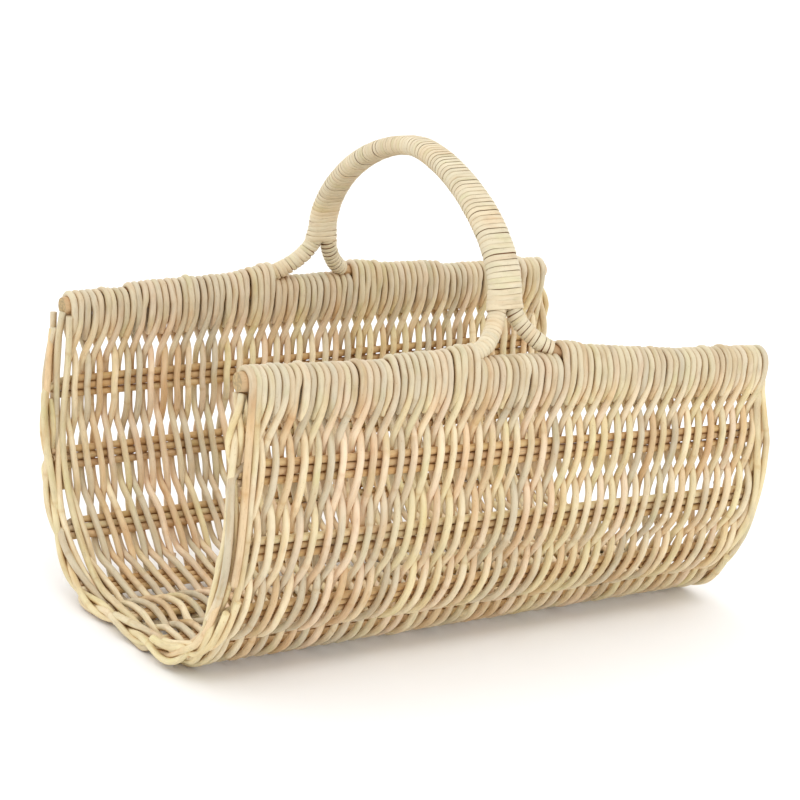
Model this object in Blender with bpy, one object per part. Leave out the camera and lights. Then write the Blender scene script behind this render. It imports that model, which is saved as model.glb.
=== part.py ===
"""Wicker log basket: an open-ended woven trough with two rails and a hooped carrying handle.

X runs along the trough, Y across it (the near wall is at -Y), Z up. The origin is at the
middle of the floor, on the level the basket stands on. Lengths are in metres.
"""
import math

import bmesh
import bpy
from mathutils import Vector

MM = 0.001
GAP = 0.3 * MM

# Rails: two straight rods that the whole trough hangs from.
RAIL_LENGTH = 560 * MM
RAIL_RADIUS = 7.5 * MM
RAIL_Y = 178 * MM
RAIL_Z = 268 * MM
RAIL_SIDES = 16
NEAR_RAIL_SLOPE = -0.05

# Trough section, measured at the middle of the wall: upright wall, quarter ellipse, flat floor.
FLOOR_HALF_WIDTH = 66 * MM
CORNER_TOP_Z = 160 * MM
CORNER_STEPS = 120

# Stakes: three rods side by side in each row, running the length of the trough.
# Five rows belong to each wall, counted down from its rail; the far wall's rows are a little wider apart.
ROWS_PER_WALL = 5
NEAR_FIRST_ROW = 75 * MM
NEAR_ROW_PITCH = 65.5 * MM
FAR_FIRST_ROW = 78 * MM
FAR_ROW_PITCH = 68.5 * MM
RODS_PER_ROW = 3
ROD_RADIUS = 3.5 * MM
ROD_SIDES = 8
ROD_PITCH = 2 * ROD_RADIUS + GAP
SLOT_STEP = 0.1 * MM

# Woven wall: thick where the strands pass over the stakes, thin between the rows.
STRAND = 6.2 * MM
WEAVE_HALF_FULL = ROD_RADIUS + GAP + STRAND
WEAVE_HALF_THIN = 4.5 * MM
FULL_HALF_LENGTH = 12.5 * MM
WRAP_RADIUS = RAIL_RADIUS + GAP + STRAND
WRAP_BOTTOM = 27 * MM
WRAP_BOTTOM_HALF = 9 * MM
BELOW_WRAP = 42 * MM
WRAP_SIDE_ANGLE = math.radians(20)

# Panels of weave along the trough: edges of the panels on the +X side, mirrored on the other.
PANEL_EDGES = [19 * MM, 83 * MM, 148 * MM, 212 * MM, 277 * MM]
OPEN_TOP_END = 48 * MM
OPEN_TOP_RISE = 1 * MM
WALL_END_X = 258 * MM
CUT_REACH = 60 * MM

# End borders: canes that follow the trough's edge, bowing outward half way down.
END_X = 270 * MM
END_BOW = 8 * MM
BORDER_START = 12 * MM
BORDER_STEPS = 42
EDGE_CANE_RADIUS = 4.2 * MM
SIDE_CANE_RADIUS = 2.8 * MM
SIDE_CANE_GAP = 0.7 * MM
SIDE_CANE_INSET = 6 * MM
CANE_SIDES = 7

# Handle: two bent rods, side by side in the hoop, each with a foot lying on the rail.
CORE_RADIUS = 5.5 * MM
CORE_SIDES = 8
CORE_X = CORE_RADIUS + 0.2 * MM
FOOT_RADIUS = 3.3 * MM
FOOT_TAPER_END = 82 * MM
FOOT_END = 146 * MM
LEG_FOOT_X = 50 * MM
HOOP_BASE_Z = 332 * MM
HOOP_APEX_Z = 436.6 * MM
HOOP_NEAR_REACH = 150 * MM
HOOP_FAR_REACH = 163 * MM
HOOP_ROUNDNESS = 1.16
HOOP_NEAR_ROUNDNESS = 1.25
HOOP_STEPS = 26
LEG_STEPS = 10
FOOT_POINTS = 2
BINDING_WALL = 3 * MM
BINDING_SIDES = 12
CROTCH_STEPS = 2
LEG_BINDING_END = 3

# Colours, as sRGB values from 0 to 255.
RAIL_COLOUR = (205, 175, 125)
ROD_COLOUR = (205, 170, 110)
WEAVE_COLOUR = (226, 206, 164)
BORDER_COLOUR = (222, 202, 150)
CORE_COLOUR = (200, 160, 115)
BINDING_COLOUR = (232, 216, 176)


def clear_scene():
    for item in list(bpy.data.objects):
        bpy.data.objects.remove(item, do_unlink=True)


def linear(value):
    """An sRGB value from 0 to 255 as a linear colour value."""
    share = value / 255
    return share / 12.92 if share <= 0.04045 else ((share + 0.055) / 1.055) ** 2.4


def make_material(name, colour, roughness):
    material = bpy.data.materials.new(name)
    material.use_nodes = True
    shader = material.node_tree.nodes["Principled BSDF"]
    shade = [linear(value) for value in colour] + [1.0]
    shader.inputs["Base Color"].default_value = shade
    shader.inputs["Roughness"].default_value = roughness
    shader.inputs["Metallic"].default_value = 0.0
    material.diffuse_color = shade
    return material


def lean(point):
    """The basket's hand-made lean: the near wall stands a little lower towards +X."""
    across = min(max(-point.y / RAIL_Y, 0.0), 1.0)
    across = across * across * (3 - 2 * across)
    height = min(point.z / RAIL_Z, 1.0)
    drop = NEAR_RAIL_SLOPE * point.x * across * height
    return Vector((point.x, point.y, point.z + drop))


# ---------------------------------------------------------------- trough section

def half_profile():
    """Points (y, z) down the far wall from its rail to the middle of the floor."""
    rise = CORNER_TOP_Z - WEAVE_HALF_FULL
    reach = RAIL_Y - FLOOR_HALF_WIDTH
    points = [(RAIL_Y, RAIL_Z)]
    for step in range(CORNER_STEPS + 1):
        angle = math.pi / 2 * step / CORNER_STEPS
        points.append((FLOOR_HALF_WIDTH + reach * math.cos(angle), CORNER_TOP_Z - rise * math.sin(angle)))
    points.append((0.0, WEAVE_HALF_FULL))
    return points


def full_profile():
    """Points (y, z) from the near rail, under the floor, to the far rail."""
    far = half_profile()
    near = [(-y, z) for y, z in far[:-1]]
    return near + far[::-1]


PROFILE = full_profile()
DISTANCES = [0.0]
for first, second in zip(PROFILE, PROFILE[1:]):
    DISTANCES.append(DISTANCES[-1] + math.dist(first, second))
TOTAL = DISTANCES[-1]
NEAR_ROWS = [NEAR_FIRST_ROW + NEAR_ROW_PITCH * row for row in range(ROWS_PER_WALL)]
FAR_ROWS = [TOTAL - FAR_FIRST_ROW - FAR_ROW_PITCH * row for row in range(ROWS_PER_WALL)]
ROWS = NEAR_ROWS + FAR_ROWS[::-1]


def place(distance):
    """Point, direction and outward normal on the section, at a distance from the near rail."""
    distance = min(max(distance, 0.0), TOTAL)
    index = next(i for i in range(1, len(DISTANCES)) if DISTANCES[i] >= distance)
    share = (distance - DISTANCES[index - 1]) / (DISTANCES[index] - DISTANCES[index - 1])
    start = Vector(PROFILE[index - 1])
    end = Vector(PROFILE[index])
    direction = (end - start).normalized()
    return start.lerp(end, share), direction, Vector((direction.y, -direction.x))


def on_wall(distance, outward):
    point, _, normal = place(distance)
    return point + normal * outward


def beside_row(row, along, outward):
    point, direction, normal = place(row)
    return point + direction * along + normal * outward


def wall_side(side):
    """One face of the weave from the near rail to the far rail; side is 1 outside, -1 inside."""
    points = [on_wall(WRAP_BOTTOM, side * WRAP_BOTTOM_HALF), on_wall(BELOW_WRAP, side * WEAVE_HALF_THIN)]
    for row, next_row in zip(ROWS, ROWS[1:] + [None]):
        points.append(beside_row(row, -FULL_HALF_LENGTH, side * WEAVE_HALF_FULL))
        points.append(beside_row(row, FULL_HALF_LENGTH, side * WEAVE_HALF_FULL))
        if next_row:
            points.append(on_wall((row + next_row) / 2, side * WEAVE_HALF_THIN))
    points.append(on_wall(TOTAL - BELOW_WRAP, side * WEAVE_HALF_THIN))
    points.append(on_wall(TOTAL - WRAP_BOTTOM, side * WRAP_BOTTOM_HALF))
    return points


def arc(centre, radius, start, end, steps):
    angles = [start + (end - start) * step / steps for step in range(steps + 1)]
    return [centre + Vector((math.cos(angle), math.sin(angle))) * radius for angle in angles]


def rail_centre(side):
    return Vector((side * RAIL_Y, RAIL_Z))


def foot_rise(foot_radius):
    """Height of a handle foot's centre over the centre of the rail it lies on."""
    return RAIL_RADIUS + GAP + foot_radius


def wrap_over(side, foot_radius):
    """The weave's outline over a rail, and any handle foot on it, from its +Y side to its -Y side."""
    centre = rail_centre(side)
    if not foot_radius:
        return arc(centre, WRAP_RADIUS, -WRAP_SIDE_ANGLE, math.pi + WRAP_SIDE_ANGLE, 10)
    top = centre + Vector((0.0, foot_rise(foot_radius)))
    points = arc(centre, WRAP_RADIUS, -WRAP_SIDE_ANGLE, 0.0, 1)
    points += arc(top, foot_radius + GAP + STRAND, 0.0, math.pi, 8)
    points += arc(centre, WRAP_RADIUS, math.pi, math.pi + WRAP_SIDE_ANGLE, 1)
    return points


def rail_hole(side, foot_radius):
    """The hole a rail passes through, with room above it for any handle foot."""
    centre = rail_centre(side)
    half_steps = 6
    slack = 1 / math.cos(math.pi / half_steps / 2)
    radius = (RAIL_RADIUS + GAP) * slack
    if not foot_radius:
        return arc(centre, radius, 0.0, 2 * math.pi, 2 * half_steps)[:-1]
    top = centre + Vector((0.0, foot_rise(foot_radius)))
    above = arc(top, (foot_radius + GAP) * slack, 0.0, math.pi, half_steps)
    return above + arc(centre, radius, math.pi, 2 * math.pi, half_steps)


def stake_slot(index, row):
    """A slot for one row of stakes; every second slot is a little taller, so no corners line up."""
    half_length = (RODS_PER_ROW - 1) / 2 * ROD_PITCH + ROD_RADIUS + GAP
    half_height = ROD_RADIUS + GAP + SLOT_STEP * (index % 2)
    corners = [(-1, -1), (1, -1), (1, 1), (-1, 1)]
    return [beside_row(row, along * half_length, out * half_height) for along, out in corners]


def panel_outlines(foot_radius):
    outside = wall_side(1)
    inside = wall_side(-1)
    outer = outside + wrap_over(1, foot_radius) + inside[::-1] + wrap_over(-1, foot_radius)
    holes = [rail_hole(-1, foot_radius), rail_hole(1, foot_radius)]
    return [outer] + holes + [stake_slot(index, row) for index, row in enumerate(ROWS)]


# ---------------------------------------------------------------- mesh helpers

def finish_object(name, mesh, origin, material):
    """Lean the mesh, move it to its own origin and link it as a named object."""
    leaned = lean(origin)
    for vertex in mesh.vertices:
        vertex.co = lean(vertex.co) - leaned
    mesh.materials.clear()
    mesh.materials.append(material)
    item = bpy.data.objects.new(name, mesh)
    item.location = leaned
    bpy.context.scene.collection.objects.link(item)
    return item


def object_from_bmesh(name, work, origin, material):
    work.normal_update()
    bmesh.ops.recalc_face_normals(work, faces=work.faces)
    mesh = bpy.data.meshes.new(name)
    work.to_mesh(mesh)
    work.free()
    return finish_object(name, mesh, origin, material)


def straight_rod(name, start_x, end_x, centre, radius, sides, material):
    """A round rod parallel to X."""
    work = bmesh.new()
    bmesh.ops.create_cone(work, cap_ends=True, segments=sides, radius1=radius, radius2=radius,
                          depth=end_x - start_x)
    middle = (start_x + end_x) / 2
    for vertex in work.verts:
        vertex.co = Vector((vertex.co.z + middle, vertex.co.x + centre[0], vertex.co.y + centre[1]))
    for face in work.faces:
        face.smooth = len(face.verts) == 4
    return object_from_bmesh(name, work, Vector((middle, centre[0], centre[1])), material)


def tangents_of(path):
    found = []
    for index in range(len(path)):
        before = path[max(index - 1, 0)]
        after = path[min(index + 1, len(path) - 1)]
        found.append((after - before).normalized())
    return found


def side_vectors(tangents, first_side):
    """Carry a sideways direction along a path without twisting it."""
    side = first_side
    found = []
    for tangent in tangents:
        side = (side - tangent * side.dot(tangent)).normalized()
        found.append(side)
    return found


def ring(work, centre, side, tangent, outline):
    """Vertices of one cross-section; outline holds (sideways, upward) distances."""
    upward = tangent.cross(side)
    return [work.verts.new(centre + side * across + upward * up) for across, up in outline]


def bridge(work, rings):
    count = len(rings[0])
    for first, second in zip(rings, rings[1:]):
        for index in range(count):
            following = (index + 1) % count
            face = work.faces.new((first[index], first[following], second[following], second[index]))
            face.smooth = True


def circle(radius, sides):
    return stadium(0.0, radius, sides)


def stadium(half_spread, radius, sides):
    """A circle pulled apart sideways, so that it goes round two rods lying side by side."""
    turns = [2 * math.pi * (side + 0.5) / sides for side in range(sides)]
    return [(math.copysign(half_spread, math.cos(turn)) + radius * math.cos(turn), radius * math.sin(turn))
            for turn in turns]


def bent_rod(name, path, first_side, radii, sides, material):
    """A solid round rod along a path, with a radius for each of its points."""
    work = bmesh.new()
    tangents = tangents_of(path)
    sections = zip(path, side_vectors(tangents, first_side), tangents, radii)
    rings = [ring(work, centre, side, tangent, circle(radius, sides)) for centre, side, tangent, radius in sections]
    bridge(work, rings)
    work.faces.new(rings[0][::-1])
    work.faces.new(rings[-1])
    return object_from_bmesh(name, work, path[len(path) // 2], material)


def sleeve(name, centres, sides, tangents, spreads, material):
    """A hollow binding with open ends around one rod, or around two spread apart."""
    work = bmesh.new()
    slack = 1 / math.cos(math.pi / BINDING_SIDES)
    inner_radius = (CORE_RADIUS + GAP) * slack
    outer_radius = CORE_RADIUS + GAP + BINDING_WALL
    inner = []
    outer = []
    for centre, side, tangent, spread in zip(centres, sides, tangents, spreads):
        inner.append(ring(work, centre, side, tangent, stadium(spread, inner_radius, BINDING_SIDES)))
        outer.append(ring(work, centre, side, tangent, stadium(spread, outer_radius, BINDING_SIDES)))
    bridge(work, outer)
    bridge(work, inner)
    bridge_ends(work, inner[0], outer[0])
    bridge_ends(work, inner[-1], outer[-1])
    return object_from_bmesh(name, work, centres[len(centres) // 2], material)


def bridge_ends(work, inner, outer):
    count = len(inner)
    for index in range(count):
        following = (index + 1) % count
        work.faces.new((inner[index], inner[following], outer[following], outer[index]))


# ---------------------------------------------------------------- trough

def make_rails(material):
    half = RAIL_LENGTH / 2
    straight_rod("rail_near", -half, half, rail_centre(-1), RAIL_RADIUS, RAIL_SIDES, material)
    straight_rod("rail_far", -half, half, rail_centre(1), RAIL_RADIUS, RAIL_SIDES, material)


def end_x(distance):
    """How far the trough reaches along X at a distance round its section."""
    return END_X + END_BOW * math.sin(math.pi * distance / TOTAL)


def make_stakes(material):
    for number, row in enumerate(ROWS, start=1):
        reach = end_x(row)
        for lane in range(RODS_PER_ROW):
            along = (lane - (RODS_PER_ROW - 1) / 2) * ROD_PITCH
            name = f"stake_row{number:02d}_{'abc'[lane]}"
            straight_rod(name, -reach, reach, beside_row(row, along, 0.0), ROD_RADIUS, ROD_SIDES, material)


def prism(outlines, start_x, end):
    """A mesh with the given section (outline first, then its holes) between two X positions."""
    curve = bpy.data.curves.new("section", "CURVE")
    curve.dimensions = "2D"
    curve.fill_mode = "BOTH"
    curve.extrude = (end - start_x) / 2
    for outline in outlines:
        spline = curve.splines.new("POLY")
        spline.points.add(len(outline) - 1)
        for point, place_on_curve in zip(outline, spline.points):
            place_on_curve.co = (point.x, point.y, 0.0, 1.0)
        spline.use_cyclic_u = True
    drawn = bpy.data.objects.new("section", curve)
    mesh = bpy.data.meshes.new_from_object(drawn)
    bpy.data.objects.remove(drawn, do_unlink=True)
    bpy.data.curves.remove(curve)
    middle = (start_x + end) / 2
    for vertex in mesh.vertices:
        vertex.co = Vector((vertex.co.z + middle, vertex.co.x, vertex.co.y))
    work = bmesh.new()
    work.from_mesh(mesh)
    bmesh.ops.remove_doubles(work, verts=work.verts, dist=0.001 * MM)
    work.normal_update()
    bmesh.ops.recalc_face_normals(work, faces=work.faces)
    work.to_mesh(mesh)
    work.free()
    return mesh


def box_mesh(low, high):
    work = bmesh.new()
    bmesh.ops.create_cube(work, size=1.0)
    size = high - low
    for vertex in work.verts:
        vertex.co = low + Vector([(vertex.co[axis] + 0.5) * size[axis] for axis in range(3)])
    mesh = bpy.data.meshes.new("cutter")
    work.to_mesh(mesh)
    work.free()
    return mesh


def cut_away(mesh, boxes):
    """The mesh with some boxes, each given by two corners, cut out of it."""
    panel = bpy.data.objects.new("panel_work", mesh)
    bpy.context.scene.collection.objects.link(panel)
    cutters = []
    for low, high in boxes:
        cutter = bpy.data.objects.new("cutter", box_mesh(low, high))
        bpy.context.scene.collection.objects.link(cutter)
        cutters.append(cutter)
        cut = panel.modifiers.new("cut", "BOOLEAN")
        cut.operation = "DIFFERENCE"
        cut.solver = "EXACT"
        cut.object = cutter
    depsgraph = bpy.context.evaluated_depsgraph_get()
    result = bpy.data.meshes.new_from_object(panel.evaluated_get(depsgraph))
    for item in cutters + [panel]:
        bpy.data.objects.remove(item, do_unlink=True)
    return result


def leg_openings(direction):
    """Boxes over both rails, where the weave is open for the handle legs to come out."""
    reach = CUT_REACH / 2
    inner, outer = sorted([direction * (PANEL_EDGES[0] - MM), direction * OPEN_TOP_END])
    low_z = RAIL_Z + OPEN_TOP_RISE
    boxes = []
    for side in (-1, 1):
        middle = side * RAIL_Y
        boxes.append((Vector((inner, middle - reach, low_z)), Vector((outer, middle + reach, low_z + CUT_REACH))))
    return boxes


def border_openings(direction):
    """A box under the rails at the trough's end, where the border takes over from the weave."""
    inner, outer = sorted([direction * WALL_END_X, direction * (WALL_END_X + CUT_REACH)])
    low = Vector((inner, -RAIL_Y - CUT_REACH, -CUT_REACH))
    return [(low, Vector((outer, RAIL_Y + CUT_REACH, RAIL_Z - BORDER_START + GAP)))]


def make_panel(number, start_x, end, foot_radius, boxes, material):
    """A stretch of the woven wall, hung over both rails, with a slot for every row of stakes."""
    mesh = prism(panel_outlines(foot_radius), start_x, end)
    if boxes:
        mesh = cut_away(mesh, boxes)
    finish_object(f"weave_panel_{number}", mesh, Vector(((start_x + end) / 2, 0.0, 0.0)), material)


def make_panels(material):
    """Panels from the middle out: the first two on each side go over a handle foot."""
    foot_radii = [CORE_RADIUS, FOOT_RADIUS, 0.0, 0.0]
    cuts = [leg_openings, None, None, border_openings]
    middle = len(foot_radii) + 1
    make_panel(middle, -PANEL_EDGES[0], PANEL_EDGES[0], 0.0, [], material)
    for index, (foot_radius, cut) in enumerate(zip(foot_radii, cuts)):
        for direction in (-1, 1):
            start_x, end = sorted([direction * (PANEL_EDGES[index] + GAP), direction * PANEL_EDGES[index + 1]])
            boxes = cut(direction) if cut else []
            make_panel(middle + direction * (index + 1), start_x, end, foot_radius, boxes, material)


def border_path(side, outward, beyond):
    """A line round the trough's end; beyond is how far it lies past the stakes' ends."""
    points = []
    for step in range(BORDER_STEPS + 1):
        distance = BORDER_START + (TOTAL - 2 * BORDER_START) * step / BORDER_STEPS
        across = on_wall(distance, outward)
        points.append(Vector((side * (end_x(distance) + beyond), across.x, across.y)))
    return points


def make_borders(material):
    side_offset = ROD_RADIUS + SIDE_CANE_GAP + SIDE_CANE_RADIUS
    for side, label in ((-1, "left"), (1, "right")):
        first_side = Vector((side, 0.0, 0.0))
        edge = border_path(side, 0.0, EDGE_CANE_RADIUS + GAP)
        radii = [EDGE_CANE_RADIUS] * len(edge)
        bent_rod(f"border_{label}_edge", edge, first_side, radii, CANE_SIDES, material)
        for outward, face in ((side_offset, "outer"), (-side_offset, "inner")):
            path = border_path(side, outward, -SIDE_CANE_INSET)
            radii = [SIDE_CANE_RADIUS] * len(path)
            bent_rod(f"border_{label}_{face}", path, first_side, radii, CANE_SIDES, material)


# ---------------------------------------------------------------- handle

def hoop_point(angle):
    """The hoop's centre line in the plane x = 0, from the near base (0) to the far base (pi)."""
    if angle < math.pi / 2:
        across = -HOOP_NEAR_REACH * math.cos(angle) ** HOOP_NEAR_ROUNDNESS
    else:
        across = HOOP_FAR_REACH * abs(math.cos(angle)) ** HOOP_ROUNDNESS
    up = max(math.sin(angle), 0.0) ** HOOP_ROUNDNESS
    return Vector((0.0, across, HOOP_BASE_Z + (HOOP_APEX_Z - HOOP_BASE_Z) * up))


def hoop_line():
    """Points evenly spaced along the hoop, from its near base to its far base."""
    fine = [hoop_point(math.pi * step / 400) for step in range(401)]
    lengths = [0.0]
    for first, second in zip(fine, fine[1:]):
        lengths.append(lengths[-1] + (second - first).length)
    points = []
    for step in range(HOOP_STEPS + 1):
        wanted = lengths[-1] * step / HOOP_STEPS
        index = min(next(i for i in range(len(lengths)) if lengths[i] >= wanted - 1e-9), len(fine) - 1)
        points.append(fine[index])
    return points


def leg_point(step, reach):
    """A leg's centre line, from its foot at step 0 up to the hoop, which stands reach from the middle."""
    angle = math.pi / 2 * step / LEG_STEPS
    bottom = RAIL_Z + foot_rise(CORE_RADIUS)
    return Vector((
        LEG_FOOT_X - (LEG_FOOT_X - CORE_X) * math.sin(angle),
        RAIL_Y - (RAIL_Y - reach) * math.sin(angle) ** 2,
        bottom + (HOOP_BASE_Z - bottom) * (1 - math.cos(angle)),
    ))


def core_path(side):
    """Centre line of one handle rod: near foot, near leg, hoop, far leg, far foot."""
    foot_z = RAIL_Z + foot_rise(FOOT_RADIUS)
    foot = [Vector((FOOT_END, RAIL_Y, foot_z)), Vector((FOOT_TAPER_END, RAIL_Y, foot_z))]
    near_half = foot + [leg_point(step, HOOP_NEAR_REACH) for step in range(LEG_STEPS)]
    far_half = foot + [leg_point(step, HOOP_FAR_REACH) for step in range(LEG_STEPS)]
    near = [Vector((side * point.x, -point.y, point.z)) for point in near_half]
    far = [Vector((side * point.x, point.y, point.z)) for point in reversed(far_half)]
    hoop = [Vector((side * CORE_X, point.y, point.z)) for point in hoop_line()]
    return near + hoop + far


def make_handle(core_material, binding_material):
    for side, label in ((-1, "left"), (1, "right")):
        path = core_path(side)
        thin = [FOOT_RADIUS] * FOOT_POINTS
        radii = thin + [CORE_RADIUS] * (len(path) - 2 * FOOT_POINTS) + thin
        bent_rod(f"handle_core_{label}", path, Vector((0.0, 1.0, 0.0)), radii, CORE_SIDES, core_material)
        make_leg_bindings(path, label, binding_material)
    make_hoop_binding(core_path(1), binding_material)


def make_leg_bindings(path, label, material):
    """Bindings round one rod's legs, from below the crotch to above the rail."""
    tangents = tangents_of(path)
    sides = side_vectors(tangents, Vector((0.0, 1.0, 0.0)))
    last = len(path) - 1
    start = FOOT_POINTS + LEG_BINDING_END
    end = FOOT_POINTS + LEG_STEPS - 1 - CROTCH_STEPS
    spans = (("near", start, end), ("far", last - end + 1, last - start + 1))
    for place_name, first, stop in spans:
        spreads = [0.0] * (stop - first)
        sleeve(f"handle_wrap_{place_name}_{label}", path[first:stop], sides[first:stop],
               tangents[first:stop], spreads, material)


def make_hoop_binding(path, material):
    """The binding round both rods, from crotch to crotch over the top."""
    first = FOOT_POINTS + LEG_STEPS - CROTCH_STEPS
    stop = len(path) - first
    centres = [Vector((0.0, point.y, point.z)) for point in path]
    tangents = tangents_of(centres[1:-1])
    tangents = [tangents[0]] + tangents + [tangents[-1]]
    spreads = [point.x for point in path]
    sides = [Vector((1.0, 0.0, 0.0))] * len(path)
    sleeve("handle_wrap_hoop", centres[first:stop], sides[first:stop], tangents[first:stop],
           spreads[first:stop], material)


def main():
    clear_scene()
    make_rails(make_material("rail_wood", RAIL_COLOUR, 0.6))
    make_stakes(make_material("stake_willow", ROD_COLOUR, 0.55))
    make_panels(make_material("woven_willow", WEAVE_COLOUR, 0.6))
    make_borders(make_material("border_willow", BORDER_COLOUR, 0.55))
    core = make_material("handle_core_wood", CORE_COLOUR, 0.6)
    binding = make_material("binding_cane", BINDING_COLOUR, 0.5)
    make_handle(core, binding)


main()
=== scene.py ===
"""Looks of the wicker log basket: every pair of strands, stake, border cane and run of binding as its own mesh.
"""

import math
import random

import bpy
import numpy as np
from mathutils import Matrix, Vector


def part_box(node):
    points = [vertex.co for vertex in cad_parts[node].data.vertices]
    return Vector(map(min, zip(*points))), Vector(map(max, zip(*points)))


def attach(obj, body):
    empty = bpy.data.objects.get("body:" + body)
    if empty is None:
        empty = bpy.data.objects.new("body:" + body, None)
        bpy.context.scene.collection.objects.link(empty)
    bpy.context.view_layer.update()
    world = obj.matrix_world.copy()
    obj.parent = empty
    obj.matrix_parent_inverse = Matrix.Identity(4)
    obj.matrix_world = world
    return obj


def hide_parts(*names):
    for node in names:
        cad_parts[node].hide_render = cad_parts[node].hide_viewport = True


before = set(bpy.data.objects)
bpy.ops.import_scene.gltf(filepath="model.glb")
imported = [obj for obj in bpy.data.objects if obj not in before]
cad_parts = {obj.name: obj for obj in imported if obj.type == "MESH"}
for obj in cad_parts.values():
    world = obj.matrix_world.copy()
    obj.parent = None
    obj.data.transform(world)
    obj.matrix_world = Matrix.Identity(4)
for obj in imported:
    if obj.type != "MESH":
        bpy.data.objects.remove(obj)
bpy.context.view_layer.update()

MM = 0.001

# Trough section, at the middle of the wall's thickness.
FLOOR_HALF_WIDTH = 66 * MM
CORNER_TOP_Z = 160 * MM
WALL_MIDDLE = 10 * MM
SECTION_STEPS = 160
WALL_SAMPLE = 1.5 * MM
ROWS_PER_WALL = 5
PANEL_COUNT = 9
GAP = 0.3 * MM

# Weave: pairs of strands, and where a strand comes off the rail, crosses its partner and meets the stakes.
PAIR_COUNT = 37
PAIR_PITCH = 13.7 * MM
STRAND_RADIUS = 3.4 * MM
STRAND_SIZES = (0.93, 1.06)
WALL_THINNING = 0.94
SIDE_STEP = 3.45 * MM
ROW_HALF = 8 * MM
FIRST_CROSSING = 50 * MM
PATH_STEP = 2 * MM
STRAND_STEP = 2.4 * MM
STRAND_SIDES = 10

# Tails, the short ends below a rail: they sweep sideways and dive in after this share of their length.
TAIL_LENGTH = 33 * MM
TAIL_SWEEP = -2.4 * MM
TAIL_DIVE = 9.3 * MM
TAIL_TURN = 0.35
TAIL_STEPS = 9

# Unevenness of the hand's work, as spreads of a normal distribution.
PAIR_SHIFT = 0.35 * MM
ROW_SHIFT_ALONG = 1.0 * MM
ROW_SHIFT_OUT = 0.4 * MM
CROSSING_SHIFT = 1.8 * MM
SWEEP_SHIFT = 0.7 * MM
STRAND_WOBBLE = 0.35 * MM

# The share of strands that stand proud of the rest on one rail, and of those with a cut end poking out.
PROUD_SHARE = 0.15
PROUD_LIFT = 1.6 * MM
CUT_END_SHARE = 0.3
CUT_END_RADIUS = 2.7 * MM
CUT_END_SIDEWAYS = 5.5 * MM
CUT_END_START = 1 * MM
CUT_END_REACH = 3.5 * MM
CUT_END_POINTS = 8
CUT_END_MARGIN = 70

# Willow shoots: how far apart their joints are, how long and how swollen, and how much shoots taper and vary.
JOINT_FIRST = 120 * MM
JOINT_SPACING = (90 * MM, 240 * MM)
JOINT_HALF_LENGTH = 1.7 * MM
JOINT_SWELL = 0.24 * MM
STRAND_TAPER = 0.08
RADIUS_UNEVENNESS = 0.02

# End borders: two close pairs of canes, then a loose three-strand plait outside them.
INNER_PAIR_X = 259.8 * MM
OUTER_PAIR_X = 271 * MM
BORDER_STEP = 3.1 * MM
PLAIT_X = 282.5 * MM
PLAIT_WIDTH = 5 * MM
PLAIT_DEPTH = 3.7 * MM
PLAIT_TUCK = 5 * MM
PLAIT_START = 9 * MM
PLAIT_TAPER = 60 * MM
PLAIT_POINTS = 260
PLAIT_WOBBLE = 0.8 * MM
# How far below the far rail each plaited cane begins: at the -X end two of them start at the first row.
PLAIT_FAR_STARTS = {-1: (88 * MM, 22 * MM, 96 * MM), 1: (PLAIT_START,) * 3}
BORDER_RADIUS = 3.3 * MM
OUTER_PAIR_RADIUS = 1.05 * BORDER_RADIUS
LOOSE_RADIUS = 3.5 * MM
LONG_TAIL_LENGTH = 165 * MM
LONG_TAIL_OUT = 2.5 * MM
LONG_TAIL_SWEEP = 5 * MM
BORDER_PROUD = 0.2 * MM
# Where the grain starts in each kind of border cane.
INNER_GRAIN = 300
OUTER_GRAIN = 320
PLAIT_GRAIN = 340
LOOSE_GRAIN = 360
# The -X outer pair changes faces under the floor, from this share of the way and over this share. It also
# bows out in the middle, and drifts from side to side over this length.
SWAP_START = 0.36
SWAP_SPAN = 0.28
OUTER_BOW = 1.5 * MM
OUTER_DRIFT = 2.2 * MM
DRIFT_LENGTH = 230 * MM

# Stake ends: at each edge one rod of each row turns down along the border and dives in among its canes.
BEND_X = 285 * MM
BEND_RADIUS = 7 * MM
BEND_OUT = 6.5 * MM
BEND_START = 16 * MM
TOP_BEND_LENGTH = 125 * MM
BEND_LENGTHS = (60 * MM, 110 * MM)
DIVE_TURN = 0.55
DIVE_DELAY = 2.2
ROD_SIZES = (1.0, 1.07)
STAKE_STEP = 3 * MM
STAKE_WOBBLE = 0.4 * MM
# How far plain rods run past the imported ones, how far the turned-down ends drift back in at each edge, and
# how much further out the first row turns down at each edge, and the last row at the -X edge.
STAKE_OVERRUN = (4 * MM, 10 * MM)
LEFT_DRIFT = (8 * MM, 15 * MM)
RIGHT_DRIFT = (6 * MM, 14 * MM)
FIRST_DRIFT = 2 * MM
FIRST_BEND = {-1: 2 * MM, 1: 3 * MM}
LAST_BEND = 5 * MM
# The rods' golden tones, partly painted shade, change to the borders' beyond this far from the middle, over
# this length.
EDGE_TONE_FROM = 250 * MM
EDGE_TONE_SPAN = 20 * MM

# Rails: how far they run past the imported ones, how much shorter the far one is, and their worn, swollen ends.
RAIL_OVERRUN = 1.5 * MM
FAR_RAIL_SHORT = 9 * MM
RAIL_END_LENGTH = 14 * MM
RAIL_END_SWELL = 1.2 * MM
RAIL_END_BEVEL = 0.7 * MM
# How much the rails' colour is darkened: painted shade.
RAIL_PAINTED_SHADE = 0.85

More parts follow.
